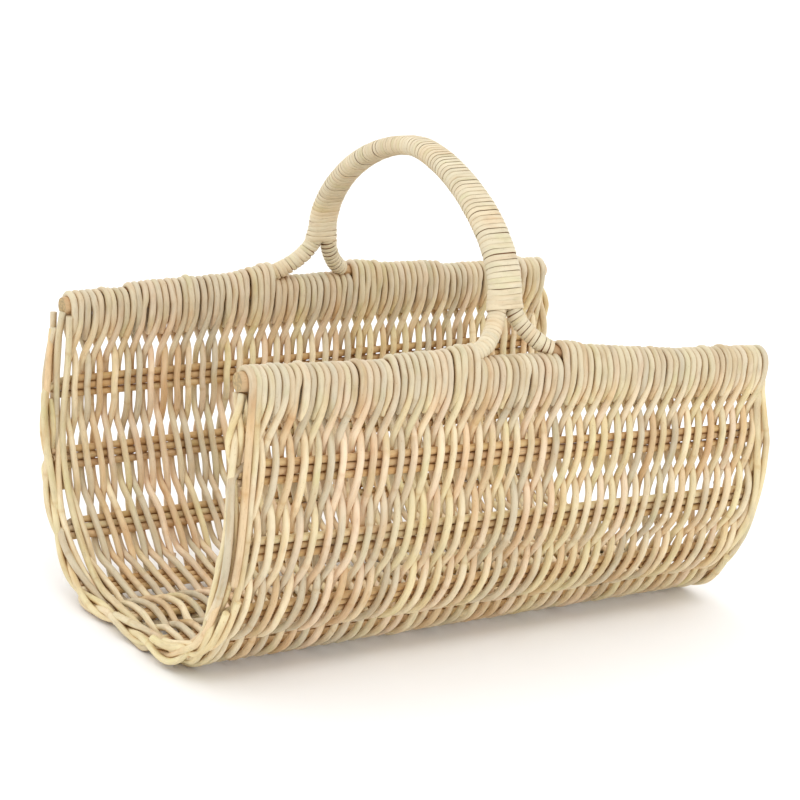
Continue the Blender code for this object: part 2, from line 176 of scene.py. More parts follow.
# Handle.
CORE_RADIUS = 5.5 * MM
CORE_X = 5.7 * MM
FOOT_RADIUS = 3.3 * MM
FOOT_TAPER = 30 * MM
HOOP_BASE_Z = 332 * MM
HOOP_APEX_Z = 436.6 * MM
HOOP_REACH = {-1: 150 * MM, 1: 163 * MM}
HOOP_ROUNDNESS = {-1: 1.25, 1: 1.16}
BINDING_RADIUS = 7.6 * MM
CANE_PITCH = 4.7 * MM
CANE_OVERLAP = 1.06
CANE_THICKNESS = 1.1 * MM
TURN_POINTS = 30
TURN_SHIFT = 0.42 * MM
TURN_LIFT = 0.16 * MM
TURN_WIDTHS = (0.9, 1.12)
UNDER_DEPTH = 0.25 * MM
# Leg bindings are thinner and finer, from this share of the leg down to this far in under the rail wrap.
LEG_BINDING_RADIUS = 7 * MM
LEG_CANE_PITCH = 4.23 * MM
LEG_CANE_OVERLAP = 0.96
LEG_WRAP_TOP = 0.9
LEG_WRAP_TUCK = 0.04
# Each leg, by wall (-1 near, 1 far) and whether it is the +X one: where its foot lands, how straight it comes
# down, where the rail wrap starts to cover it and stops, how much of its foot is shaved away by then, and
# what share of the leg its binding leaves bare above the wrap.
LEGS = {
    (-1, False): dict(foot=60 * MM, bow=1.0, start=46 * MM, reach=142 * MM, shaved=0.3, bare=0.0),
    (-1, True): dict(foot=50 * MM, bow=1.15, start=41 * MM, reach=176 * MM, shaved=0.85, bare=0.08),
    (1, False): dict(foot=66 * MM, bow=1.3, start=49 * MM, reach=208 * MM, shaved=0.3, bare=0.0),
    (1, True): dict(foot=50 * MM, bow=1.0, start=40 * MM, reach=150 * MM, shaved=0.3, bare=0.1),
}
# The hoop's binding starts on the legs at this share of their way up, in so many steps towards their top.
JOIN_START = 0.8
JOIN_STEP = 0.025
JOIN_POINTS = 8
# Half the distance between the middles of the hoop's two rods, from the near leg over to the far leg.
HOOP_SPREADS = (8.0 * MM, 8.0 * MM, 6.5 * MM, 5.0 * MM, 4.0 * MM, 4.4 * MM, 6.2 * MM)

# Camera: where it stands, which way it looks, and its lens.
CAMERA_PLACE = Vector((-1.2625, -1.9124, 0.7883))
CAMERA_TURN = math.radians(33.33)
CAMERA_DIP = math.radians(14.49)
CAMERA_ROLL = math.radians(3.28)
CAMERA_LENS = 113.2

# Studio: the lights by name, with their place, target, size and power in watts.
LIGHTS = {
    "key_light": ((-1.6, -1.8, 2.8), (0, 0, 0.2), 1.8, 6),
    "fill_light": ((1.9, -1.4, 1.6), (0, 0, 0.2), 1.8, 3.5),
    "front_light": ((-0.8, -1.9, 3.0), (0, 0.1, 0.15), 1.6, 8),
    "back_light": ((0.4, 2.2, 1.9), (0, 0, 0.2), 1.6, 5),
}
SKY_STRENGTH = 1.24
FLOOR_TONE = 0.94
FLOOR_SIZE = 60


def middle(node):
    low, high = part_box(node)
    return [(a + b) / 2 for a, b in zip(low, high)]


def extent(node):
    low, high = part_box(node)
    return [b - a for a, b in zip(low, high)]


RAIL_Y = middle("rail_far")[1]
RAIL_Z = middle("rail_far")[2]
RAIL_RADIUS = extent("rail_far")[2] / 2
RAIL_LENGTH = extent("rail_far")[0]
NEAR_SLOPE = -(extent("rail_near")[2] - 2 * RAIL_RADIUS) / RAIL_LENGTH
ROD_RADIUS = extent("stake_row06_b")[2] / 2
WRAP = RAIL_RADIUS + STRAND_RADIUS + GAP
LEG_BOTTOM_Z = RAIL_Z + RAIL_RADIUS + GAP + CORE_RADIUS
ROW_OUT = ROD_RADIUS + STRAND_RADIUS + 0.1 * MM


def srgb(*values):
    """A colour given as sRGB values from 0 to 255, as linear values."""
    out = []
    for value in values:
        share = value / 255
        out.append(share / 12.92 if share <= 0.04045 else ((share + 0.055) / 1.055) ** 2.4)
    return out


CREAM = srgb(234, 219, 185)
PINK = srgb(228, 204, 175)
GREEN = srgb(225, 211, 166)
PEACH = srgb(220, 191, 149)
TAN = srgb(205, 169, 123)
PALE = srgb(200, 189, 164)
# The stakes' golden tone: partly their own, partly painted shade for where they lie deep in the weave.
SHADED_STAKE_GOLD = srgb(214, 178, 122)
CANE_PALE = srgb(216, 204, 175)
CORE_BROWN = srgb(158, 112, 72)
END_GRAIN_RINGS = (srgb(176, 150, 106), srgb(198, 172, 126))
END_GRAIN_STAIN = srgb(140, 122, 92)

# How strands differ: in lightness, in how far they drift to a second colour, and in what they share.
STRAND_LIGHTNESS = (0.88, 1.05)
DRIFT_MIDDLE = 0.35
DRIFT_SPREAD = 0.5
TONE_SPREAD = 0.045
COMMON_SHARE = 0.22
JOINT_STAIN = (0.12, 0.19, 0.28)
# The wrapping on the rails is paler: how much, and over what height down from the rail's middle.
RAIL_PALENESS = 0.6
PALE_BELOW_RAIL = 30 * MM
PALE_FADE = 26 * MM


def mix(first, second, share):
    return [a + (b - a) * share for a, b in zip(first, second)]


def smooth(share):
    share = min(max(share, 0.0), 1.0)
    return share * share * (3 - 2 * share)


def between(places, known, rows):
    """The rows' values at some places, read straight between the places where they are known."""
    rows = np.asarray(rows, float)
    return np.stack([np.interp(places, known, column) for column in rows.T], axis=-1)


def path_lengths(path):
    """The distance along a path of each of its points."""
    return np.concatenate([[0.0], np.cumsum(np.linalg.norm(np.diff(path, axis=0), axis=1))])


def unit(vectors):
    return vectors / np.linalg.norm(vectors, axis=1, keepdims=True)


def lean(points):
    """The basket's hand-made lean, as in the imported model: the near wall is lower towards +X."""
    points = np.array(points, float)
    across = np.clip(-points[:, 1] / RAIL_Y, 0, 1)
    across = across * across * (3 - 2 * across)
    height = np.minimum(points[:, 2] / RAIL_Z, 1)
    points[:, 2] += NEAR_SLOPE * points[:, 0] * across * height
    return points


# ---- trough section

def section_points():
    rise = CORNER_TOP_Z - WALL_MIDDLE
    reach = RAIL_Y - FLOOR_HALF_WIDTH
    far = [(RAIL_Y, RAIL_Z)]
    for step in range(SECTION_STEPS + 1):
        angle = math.pi / 2 * step / SECTION_STEPS
        far.append((FLOOR_HALF_WIDTH + reach * math.cos(angle), CORNER_TOP_Z - rise * math.sin(angle)))
    far.append((0.0, WALL_MIDDLE))
    return np.array([(-y, z) for y, z in far[:-1]] + far[::-1])


SECTION = section_points()
SECTION_LENGTHS = path_lengths(SECTION)
TOTAL = SECTION_LENGTHS[-1]


def row_distance(number):
    """How far round the section a row of stakes lies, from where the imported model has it."""
    distances = np.linspace(0.0, TOTAL, 3000)
    off = between(distances, SECTION_LENGTHS, SECTION) - middle(f"stake_row{number:02d}_b")[1:]
    return distances[np.argmin(np.hypot(*off.T))]


ROWS = [row_distance(number) for number in range(1, 2 * ROWS_PER_WALL + 1)]


def on_wall(distance, outward):
    """(y, z) at a distance round the section from the near rail, and outward from its middle."""
    y, z = between(distance, SECTION_LENGTHS, SECTION)
    around = (max(distance - WALL_SAMPLE, 0.0), min(distance + WALL_SAMPLE, TOTAL))
    along_y, along_z = np.diff(between(around, SECTION_LENGTHS, SECTION), axis=0)[0]
    size = math.hypot(along_y, along_z)
    return y + along_z / size * outward, z - along_y / size * outward


# ---- mesh building

class Shape:
    """Collects tubes and ribbons into one mesh, with colour and grain stored on its points."""

    def __init__(self):
        self.points = []
        self.faces = []
        self.colours = []
        self.grain = []
        self.count = 0

    def add(self, rings, colours, grain):
        """Rings is (n, sides, 3); colours is (n, 3); grain is (n, sides, 3)."""
        number, sides, _ = rings.shape
        start = self.count
        index = np.arange(number * sides).reshape(number, sides) + start
        ahead = np.roll(index, -1, axis=1)
        quads = np.stack([index[:-1], ahead[:-1], ahead[1:], index[1:]], axis=-1).reshape(-1, 4)
        self.faces += quads.tolist()
        self.faces.append(index[0][::-1].tolist())
        self.faces.append(index[-1].tolist())
        self.points.append(rings.reshape(-1, 3))
        self.colours.append(np.repeat(colours, sides, axis=0))
        self.grain.append(grain.reshape(-1, 3))
        self.count += number * sides

    def finish(self, name, material, replaces):
        points = lean(np.concatenate(self.points))
        mesh = bpy.data.meshes.new(name)
        mesh.from_pydata(points.tolist(), [], self.faces)
        mesh.polygons.foreach_set("use_smooth", [len(face) == 4 for face in self.faces])
        colour = mesh.attributes.new("strand", "FLOAT_COLOR", "POINT")
        values = np.ones((len(points), 4))
        values[:, :3] = np.concatenate(self.colours)
        colour.data.foreach_set("color", values.ravel())
        grain = mesh.attributes.new("grain", "FLOAT_VECTOR", "POINT")
        grain.data.foreach_set("vector", np.concatenate(self.grain).ravel())
        mesh.update()
        mesh.materials.append(material)
        piece = bpy.data.objects.new(name, mesh)
        bpy.context.scene.collection.objects.link(piece)
        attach(piece, "root")
        if replaces:
            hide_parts(*replaces)
        return piece


def resample(points, step):
    """The same path with points evenly spaced along it, and the distance along it of each."""
    lengths = path_lengths(points)
    wanted = np.linspace(0.0, lengths[-1], max(int(lengths[-1] / step), 3))
    return between(wanted, lengths, points), wanted


def soften(points, rounds):
    """Round off a path's corners, keeping its ends."""
    points = np.array(points, float)
    for _ in range(rounds):
        points[1:-1] = points[1:-1] * 0.5 + (points[:-2] + points[2:]) * 0.25
    return points


def even_strand(points):
    """A strand's path through some points, evenly spaced and with its corners rounded off."""
    return soften(resample(points, STRAND_STEP)[0], 4)


def carried_frames(points, first_normal):
    """Two directions square to a path at each of its points, carried along it without twisting."""
    tangents = unit(np.gradient(points, axis=0))
    normals = np.empty_like(points)
    normal = np.array(first_normal, float)
    for index, tangent in enumerate(tangents):
        normal = normal - tangent * normal.dot(tangent)
        normal /= np.linalg.norm(normal)
        normals[index] = normal
    return normals, np.cross(tangents, normals)


def wavy(count, spacing, size, rng):
    """Smooth random values along a path: one random knot every so many points."""
    knots = max(int(count / spacing) + 2, 3)
    values = [rng.gauss(0, size) for _ in range(knots)]
    return np.interp(np.linspace(0, knots - 1, count), range(knots), values)


def add_tube(shape, points, radii, colours, seed, sides=STRAND_SIDES, first_normal=(0, 0, 1)):
    """A round strand along a path, kept above the floor; each point has its own radius and colour."""
    points = np.array(points, float)
    points[:, 2] = np.maximum(points[:, 2], radii)
    lengths = path_lengths(points)
    normals, others = carried_frames(points, first_normal)
    turns = 2 * math.pi * np.arange(sides) / sides
    cosines = np.cos(turns)[None, :, None]
    sines = np.sin(turns)[None, :, None]
    radii = np.asarray(radii, float)[:, None, None]
    rings = points[:, None] + radii * (cosines * normals[:, None] + sines * others[:, None])
    grain = np.empty(rings.shape)
    grain[:, :, 0] = radii[:, :, 0] * np.cos(turns)[None] + seed
    grain[:, :, 1] = radii[:, :, 0] * np.sin(turns)[None]
    grain[:, :, 2] = lengths[:, None] + seed
    shape.add(rings, np.asarray(colours, float), grain)


def joint_marks(lengths, rng):
    """How close each point of a shoot is to one of its joints, from 0 to 1."""
    marks = np.zeros(len(lengths))
    place = rng.uniform(0, JOINT_FIRST)
    while place < lengths[-1]:
        marks = np.maximum(marks, np.exp(-((lengths - place) / JOINT_HALF_LENGTH) ** 2))
        place += rng.uniform(*JOINT_SPACING)
    return marks


def strand_radii(lengths, radius, marks, rng):
    """Slightly tapering, with a faint swelling at each joint of the shoot."""
    taper = rng.uniform(-STRAND_TAPER, STRAND_TAPER)
    radii = radius * (1 + taper * (lengths / lengths[-1] - 0.5))
    return radii * (1 + wavy(len(lengths), 9, RADIUS_UNEVENNESS, rng)) + JOINT_SWELL * marks


def strand_colours(lengths, palette, marks, rng):
    """A base colour that drifts to a second one along the strand, and darkens at its joints."""
    first = rng.choices(palette[0], palette[1])[0]
    second = rng.choices(palette[0], palette[1])[0]
    light = rng.uniform(*STRAND_LIGHTNESS)
    shares = np.clip(DRIFT_MIDDLE + wavy(len(lengths), 22, DRIFT_SPREAD, rng), 0, 1)[:, None]
    colours = light * (np.array(first) * (1 - shares) + np.array(second) * shares)
    colours = colours * (1 + wavy(len(lengths), 7, TONE_SPREAD, rng)[:, None])
    colours = colours * (1 - COMMON_SHARE) + np.array(mix(CREAM, PEACH, 0.35)) * COMMON_SHARE
    return colours * (1 - marks[:, None] * np.array(JOINT_STAIN))


WEAVER_PALETTE = ([CREAM, PALE, PINK, GREEN, PEACH, TAN], [4, 2.4, 3, 2.2, 1.6, 0.6])
BORDER_PALETTE = ([CREAM, PALE, GREEN, PEACH, TAN], [3, 1.5, 3.5, 1, 0.4])
SHADED_STAKE_PALETTE = ([SHADED_STAKE_GOLD, TAN, GREEN], [4, 2, 0.5])


# ---- materials

# Noise stretched along the strand: cycles per metre across it twice, then along it, and the detail.
FIBRES = ((1500, 1500, 45), 3.0)
PATCHES = ((130, 130, 22), 2.0)
TINTS = ((70, 70, 34), 3.0)
FLECKS = ((360, 360, 110), 2.0)
SPECKS = ((900, 900, 500), 1.0)
STAINS = ((300, 300, 300), 3.0)
FLECK_SHARE = 0.5
SPECK_SHARE = 0.45
# Painted shade: how far the occlusion reaches that darkens the crevices.
PAINTED_SHADE_REACH = 7 * MM
BUMP_HEIGHT = 0.25 * MM
BLACK = (0, 0, 0)
WHITE = (1, 1, 1)
TINT_STOPS = ((0.32, (0.93, 0.95, 0.86)), (0.46, WHITE), (0.58, (1, 0.99, 0.98)), (0.70, (0.95, 0.87, 0.82)))
PATCH_BROWN = (0.80, 0.64, 0.44)
SPECK_BROWN = (0.55, 0.38, 0.22)
# Painted shade: how brown the crevices are painted between weavers, between stakes and between turns of cane.
WEAVE_PAINTED_SHADE = (0.66, 0.39, 0.15)
STAKE_PAINTED_SHADE = (0.50, 0.28, 0.10)
CANE_PAINTED_SHADE = (0.56, 0.38, 0.19)
SHEEN = 0.38
RING_SCALE = 420
RING_DISTORTION = 2.5


def new_material(name):
    material = bpy.data.materials.new(name)
    material.use_nodes = True
    tree = material.node_tree
    return material, tree, tree.nodes["Principled BSDF"]


def node(tree, kind, **settings):
    made = tree.nodes.new(kind)
    for key, value in settings.items():
        setattr(made, key, value)
    return made


def feed(tree, socket, value):
    """Set an input to a number or a colour, or link it to another node's output."""
    if isinstance(value, (int, float)):
        socket.default_value = value
    elif isinstance(value, (list, tuple)):
        socket.default_value = (*value, 1.0)
    else:
        tree.links.new(value, socket)


def maths(tree, operation, first, second):
    made = node(tree, "ShaderNodeMath", operation=operation)
    for socket, value in zip(made.inputs, (first, second)):
        feed(tree, socket, value)
    return made.outputs[0]


def ramp(tree, value, stops):
    made = node(tree, "ShaderNodeValToRGB")
    elements = made.color_ramp.elements
    while len(elements) < len(stops):
        elements.new(0.5)
    for element, (place, colour) in zip(elements, stops):
        element.position = place
        element.color = (*colour, 1.0)
    tree.links.new(value, made.inputs[0])
    return made.outputs[0]


def blend_colours(tree, mode, share, first, second):
    made = node(tree, "ShaderNodeMix", data_type="RGBA", blend_type=mode)
    for socket, value in ((made.inputs[0], share), (made.inputs[6], first), (made.inputs[7], second)):
        feed(tree, socket, value)
    return made.outputs[2]


def stretched_noise(tree, source, stretch, detail):
    mapping = node(tree, "ShaderNodeMapping")
    mapping.inputs["Scale"].default_value = stretch
    tree.links.new(source, mapping.inputs["Vector"])
    noise = node(tree, "ShaderNodeTexNoise")
    noise.inputs["Scale"].default_value = 1.0
    noise.inputs["Detail"].default_value = detail
    tree.links.new(mapping.outputs[0], noise.inputs["Vector"])
    return noise.outputs["Fac"]


def willow_material(name, roughness, fibre=0.38, blotch=0.55, painted_shade_colour=WEAVE_PAINTED_SHADE):
    """Peeled willow: lengthwise fibres, drifting blotches, small specks and brown painted shade in its
    crevices.
    """
    material, tree, shader = new_material(name)
    links = tree.links
    colour = node(tree, "ShaderNodeAttribute", attribute_name="strand").outputs["Color"]
    grain = node(tree, "ShaderNodeAttribute", attribute_name="grain").outputs["Vector"]
    fibres = stretched_noise(tree, grain, *FIBRES)
    patches = stretched_noise(tree, grain, *PATCHES)
    tints = stretched_noise(tree, grain, *TINTS)
    flecks = stretched_noise(tree, grain, *FLECKS)
    specks = stretched_noise(tree, grain, *SPECKS)
    lines = maths(tree, "MULTIPLY", fibres, fibre)
    mottle = maths(tree, "MULTIPLY", flecks, FLECK_SHARE)
    shade = maths(tree, "ADD", maths(tree, "ADD", lines, mottle), 1 - fibre / 2 - FLECK_SHARE / 2)
    colour = blend_colours(tree, "MULTIPLY", 1.0, colour, ramp(tree, shade, [(0, BLACK), (1, WHITE)]))
    colour = blend_colours(tree, "MULTIPLY", 1.0, colour, ramp(tree, tints, TINT_STOPS))
    blotches = maths(tree, "MULTIPLY", ramp(tree, patches, [(0.48, BLACK), (0.72, WHITE)]), blotch)
    colour = blend_colours(tree, "MULTIPLY", blotches, colour, PATCH_BROWN)
    dots = maths(tree, "MULTIPLY", ramp(tree, specks, [(0.70, BLACK), (0.76, WHITE)]), SPECK_SHARE)
    colour = blend_colours(tree, "MULTIPLY", dots, colour, SPECK_BROWN)
    # Painted shade: where other surfaces are close, the colour is darkened towards the crevice brown.
    closeness = node(tree, "ShaderNodeAmbientOcclusion", samples=6)
    closeness.inputs["Distance"].default_value = PAINTED_SHADE_REACH
    dark = ramp(tree, closeness.outputs["AO"], [(0.02, WHITE), (0.58, BLACK)])
    colour = blend_colours(tree, "MULTIPLY", dark, colour, painted_shade_colour)
    links.new(colour, shader.inputs["Base Color"])
    rough = maths(tree, "ADD", maths(tree, "MULTIPLY", fibres, 0.22), roughness - 0.11)
    links.new(rough, shader.inputs["Roughness"])
    shader.inputs["Specular IOR Level"].default_value = SHEEN
    bump = node(tree, "ShaderNodeBump")
    bump.inputs["Strength"].default_value = 0.5
    bump.inputs["Distance"].default_value = BUMP_HEIGHT
    links.new(maths(tree, "ADD", fibres, maths(tree, "MULTIPLY", patches, 0.6)), bump.inputs["Height"])
    links.new(bump.outputs[0], shader.inputs["Normal"])
    return material


def end_grain_material():
    """The sawn end of a rail: rings and dark stains."""
    material, tree, shader = new_material("rail_end_grain")
    links = tree.links
    grain = node(tree, "ShaderNodeAttribute", attribute_name="grain").outputs["Vector"]
    stains = stretched_noise(tree, grain, *STAINS)
    rings = node(tree, "ShaderNodeTexWave", wave_type="RINGS", rings_direction="Z")
    rings.inputs["Scale"].default_value = RING_SCALE
    rings.inputs["Distortion"].default_value = RING_DISTORTION
    links.new(grain, rings.inputs["Vector"])
    colour = ramp(tree, rings.outputs["Fac"], list(enumerate(END_GRAIN_RINGS)))
    stain = ramp(tree, stains, [(0.44, BLACK), (0.56, WHITE)])
    colour = blend_colours(tree, "MIX", maths(tree, "MULTIPLY", stain, 0.6), colour, END_GRAIN_STAIN)
    links.new(colour, shader.inputs["Base Color"])
    shader.inputs["Roughness"].default_value = 0.85
    return material


# ---- weavers

def foot_radius(leg, away):
    """The radius of a handle leg's foot at a distance from the middle of the rail."""
    end = leg["foot"] + FOOT_TAPER
    shaved = leg["shaved"] * min(max((away - end) / (leg["reach"] - end), 0.0), 1.0)
    thinned = smooth((away - leg["foot"]) / FOOT_TAPER)
    return CORE_RADIUS + (FOOT_RADIUS * (1 - shaved) - CORE_RADIUS) * thinned


def leg_rise(leg, away):
    """How high the middle of a leg has risen above its foot, at a distance from the middle of the rail."""
    if away >= leg["foot"]:
        return 0.0
    turned = ((leg["foot"] - away) / (leg["foot"] - CORE_X)) ** (1 / leg["bow"])
    return (HOOP_BASE_Z - LEG_BOTTOM_Z) * (1 - math.sqrt(1 - min(turned, 1.0) ** 2))


def under_wrap(x, side):
    """The radius of the leg under the rail wrap, and the height of its middle above the rail's."""
    leg = LEGS[(side, x > 0)]
    away = abs(x)
    if away < leg["start"] or away > leg["reach"]:
        return 0.0, 0.0
    radius = foot_radius(leg, away) * smooth((leg["reach"] - away) / (4 * MM))
    return radius, RAIL_RADIUS + radius + leg_rise(leg, away)


def over_rail(angle, extra, foot, rise):
    """(y, z) from the rail's centre of a strand laid over the rail and any foot, at an angle from +Y."""
    direction = np.array([math.cos(angle), math.sin(angle)])
    wrap = WRAP + extra
    if foot > 0:
        top = foot + STRAND_RADIUS + GAP + extra
        if direction[1] * rise > wrap - top:
            return np.array([0.0, rise]) + direction * top
    return direction * wrap


def rail_turn(side, x, sign, extra):
    """Points over one rail; sign is +1 to go from its +Y side to its -Y side."""
    points = []
    foot, rise = under_wrap(x, side)
    for step in range(13):
        turned = step / 12
        angle = math.pi * (turned if sign > 0 else 1 - turned)
        y, z = over_rail(angle, extra, foot, rise)
        points.append((x, side * RAIL_Y + y, RAIL_Z + z))
    return points


def rail_x(distance, step):
    """How far to the side a long strand is between the rail's top and the first row it meets."""
    places = (0.0, 16 * MM, 24 * MM, 30 * MM, FIRST_CROSSING, ROWS[0])
    return step * np.interp(distance, places, (1, 0.95, 0.75, 0.4, -1, 0))


def rail_out(distance):
    """How far out a long strand stands between the rail's top and the first row it meets."""
    places = (0.0, 14 * MM, 27 * MM, FIRST_CROSSING, ROWS[0] - ROW_HALF)
    return np.interp(distance, places, (WRAP, WRAP - 0.5 * MM, 7.8 * MM, 0.0, -ROW_OUT))


def off_centre(share, centre):
    """The share of an interval, bent so that its half-way point falls at the given place."""
    return 0.5 * share / centre if share < centre else 1 - 0.5 * (1 - share) / (1 - centre)


def wall_course(near_outside, step, rng):
    """For one strand: a function giving (x, outward) at each distance round the section."""
    knot_places = [0.0] + ROWS + [TOTAL]
    knots_x = [rng.gauss(0, ROW_SHIFT_ALONG) for _ in knot_places]
    knots_out = [rng.gauss(0, ROW_SHIFT_OUT) for _ in knot_places]
    shifts = [rng.gauss(0, CROSSING_SHIFT) for _ in knot_places]
    rows = len(ROWS)

    def sideways(distance):
        if distance <= ROWS[0]:
            return near_outside * rail_x(distance, step)
        if distance >= ROWS[-1]:
            return near_outside * rail_x(TOTAL - distance, step)
        row = max(index for index in range(rows - 1) if distance >= ROWS[index])
        room = ROWS[row + 1] - ROWS[row]
        share = off_centre((distance - ROWS[row]) / room, 0.5 + shifts[row] / room)
        hand = -1 if row < ROWS_PER_WALL else 1
        return hand * near_outside * (-1) ** (row + 1) * step * (1 - abs(2 * share - 1))

    def outward(distance):
        if distance < ROWS[0] - ROW_HALF:
            return near_outside * rail_out(distance)
        if distance > ROWS[-1] + ROW_HALF:
            return -near_outside * rail_out(TOTAL - distance)
        row = max(index for index in range(rows) if distance >= ROWS[index] - ROW_HALF)
        here = near_outside * (-1) ** (row + 1)
        past = distance - ROWS[row] - ROW_HALF
        if past <= 0:
            return here * ROW_OUT
        room = ROWS[row + 1] - ROWS[row] - 2 * ROW_HALF
        return here * ROW_OUT * math.cos(math.pi * off_centre(past / room, 0.5 + shifts[row] / room))

    def course(distance):
        return (sideways(distance) + np.interp(distance, knot_places, knots_x),
                outward(distance) + np.interp(distance, knot_places, knots_out))

    return course


def tail(side, x, inside, sweep, extra):
    """A short end tucked in below the rail: from its tip up to beside the rail."""
    points = []
    for step in range(TAIL_STEPS):
        share = 1 - step / TAIL_STEPS
        distance = TAIL_LENGTH * share
        turned = smooth((share - TAIL_TURN) / (1 - TAIL_TURN))
        out = (WRAP + extra) * (1 - 0.05 * share) - TAIL_DIVE * turned
        place = distance if side < 0 else TOTAL - distance
        y, z = on_wall(place, -out if inside else out)
        points.append((x + sweep * turned, y, z))
    return points


def weaver_path(x, near_outside, step, rng, extras):
    """One strand from its tail at the near rail to its tail at the far rail."""
    course = wall_course(near_outside, step, rng)
    end_x = x + near_outside * step
    sweep = near_outside * (TAIL_SWEEP + rng.gauss(0, SWEEP_SHIFT))
    points = tail(-1, end_x, near_outside > 0, sweep, extras[0])
    points += rail_turn(-1, end_x, near_outside, extras[0])
    distance = PATH_STEP
    while distance < TOTAL - PATH_STEP / 2:
        off_x, out = course(distance)
        y, z = on_wall(distance, out)
        points.append((x + off_x, y, z))
        distance += PATH_STEP
    points += rail_turn(1, end_x, -near_outside, extras[1])
    points += tail(1, end_x, near_outside < 0, sweep, extras[1])[::-1]
    path = even_strand(points)
    path[:, 0] += wavy(len(path), 9, STRAND_WOBBLE, rng)
    return path


def add_strand(shape, path, radius, palette, seed, rng):
    """A strand with joints along it, paler where it goes over a rail."""
    lengths = path_lengths(path)
    marks = joint_marks(lengths, rng)
    on_rail = np.array([smooth((point[2] - RAIL_Z + PALE_BELOW_RAIL) / PALE_FADE) for point in path])
    radii = strand_radii(lengths, radius, marks, rng) * (WALL_THINNING + (1 - WALL_THINNING) * on_rail)
    colours = strand_colours(lengths, palette, marks, rng)
    paler = RAIL_PALENESS * on_rail[:, None]
    add_tube(shape, path, radii, colours * (1 - paler) + np.array(PALE) * paler, seed, first_normal=(1, 0, 0))


def add_cut_end(shape, path, rng):
    """Where one strand ran out and the next began: a short end left poking out of a crossing."""
    index = rng.randrange(CUT_END_MARGIN, len(path) - CUT_END_MARGIN)
    inward = np.array([0.0, -path[index][1], RAIL_Z * 0.7 - path[index][2]])
    inward /= np.linalg.norm(inward)
    face = rng.choice((-1, 1))
    side = np.array([rng.choice((-1, 1)) * CUT_END_SIDEWAYS, 0.0, 0.0])
    points = []
    for step in range(CUT_END_POINTS):
        share = step / CUT_END_POINTS
        out = inward * face * (CUT_END_START + CUT_END_REACH * share)
        points.append(path[index + step] + side * share + out)
    lengths = np.linspace(0, 20 * MM, CUT_END_POINTS)
    colours = strand_colours(lengths, WEAVER_PALETTE, np.zeros(CUT_END_POINTS), rng)
    radii = np.full(CUT_END_POINTS, CUT_END_RADIUS)
    add_tube(shape, points, radii, colours, rng.uniform(0, 9), first_normal=(1, 0, 0))


def nearest_panel(x):
    panels = [f"weave_panel_{number}" for number in range(1, PANEL_COUNT + 1)]
    return min(panels, key=lambda name: abs(middle(name)[0] - x))


def make_weavers(material):
    start = -(PAIR_COUNT - 1) / 2 * PAIR_PITCH
    for index in range(PAIR_COUNT):
        rng = random.Random(1000 + index)
        x = start + index * PAIR_PITCH + rng.gauss(0, PAIR_SHIFT)
        shape = Shape()
        for number, near_outside in enumerate((1, -1)):
            extras = [abs(rng.gauss(0, PAIR_SHIFT)) for _ in range(2)]
            if rng.random() < PROUD_SHARE:
                extras[rng.randrange(2)] += PROUD_LIFT
            path = weaver_path(x, near_outside, SIDE_STEP, rng, extras)
            radius = STRAND_RADIUS * rng.uniform(*STRAND_SIZES)
            add_strand(shape, path, radius, WEAVER_PALETTE, index * 2 + number, rng)
            if rng.random() < CUT_END_SHARE:
                add_cut_end(shape, path, rng)
        shape.finish(f"weaver_pair_{index + 1:02d}", material, [nearest_panel(x)])


# ---- stakes and rails

def stake_end(side, row, outward, bend_x, drift, length):
    """A stake's end from the edge on: it turns down towards the floor and dives in among the border canes."""
    distance = ROWS[row]
    down = 1 if row < ROWS_PER_WALL else -1
    points = []
    for step in range(5):
        angle = math.pi / 2 * step / 4
        x = bend_x - BEND_RADIUS * (1 - math.sin(angle))
        y, z = on_wall(distance + down * BEND_RADIUS * (1 - math.cos(angle)), outward * smooth(step / 4))
        points.append((side * x, y, z))
    steps = int(length / STAKE_STEP)
    for step in range(1, steps + 1):
        share = step / steps
        x = bend_x - drift * smooth(share)
        place = distance + down * (BEND_RADIUS + length * share)
        out = outward * math.cos(math.pi * DIVE_TURN * share ** DIVE_DELAY)
        y, z = on_wall(min(max(place, 0.0), TOTAL), out)
        points.append((side * x, y, z))
    return points


def stake_path(number, lane, rng):
    """One rod of a row, with the ends of the row's outer two rods turned down along the borders."""
    packed = f"stake_row{number:02d}_{lane}"
    _, y, z = middle(packed)
    row = number - 1
    bent_left = lane == "ac"[row % 2]
    bent_right = lane == "ca"[row % 2]
    cut = extent(packed)[0] / 2 + rng.uniform(*STAKE_OVERRUN)
    bent = BEND_X - BEND_START
    count = 90
    xs = np.linspace(-bent if bent_left else -cut, bent if bent_right else cut, count)
    ys = y + wavy(count, 14, STAKE_WOBBLE, rng)
    zs = z + wavy(count, 14, STAKE_WOBBLE, rng)
    path = np.stack([xs, ys, zs], axis=1).tolist()
    outward = BEND_OUT if lane == "a" else -BEND_OUT
    first = row == 0
    last = row == len(ROWS) - 1
    if bent_left:
        length = TOP_BEND_LENGTH if first or last else rng.uniform(*BEND_LENGTHS)
        drift = FIRST_DRIFT if first else rng.uniform(*LEFT_DRIFT)
        bend_x = BEND_X + (FIRST_BEND[-1] if first else LAST_BEND if last else 0.0)
        path = stake_end(-1, row, outward, bend_x, drift, length)[::-1] + path
    if bent_right:
        bend_x = BEND_X + (FIRST_BEND[1] if first else 0.0)
        drift = rng.uniform(*RIGHT_DRIFT)
        path += stake_end(1, row, outward, bend_x, drift, rng.uniform(*BEND_LENGTHS))
    return soften(resample(path, STAKE_STEP)[0], 3)


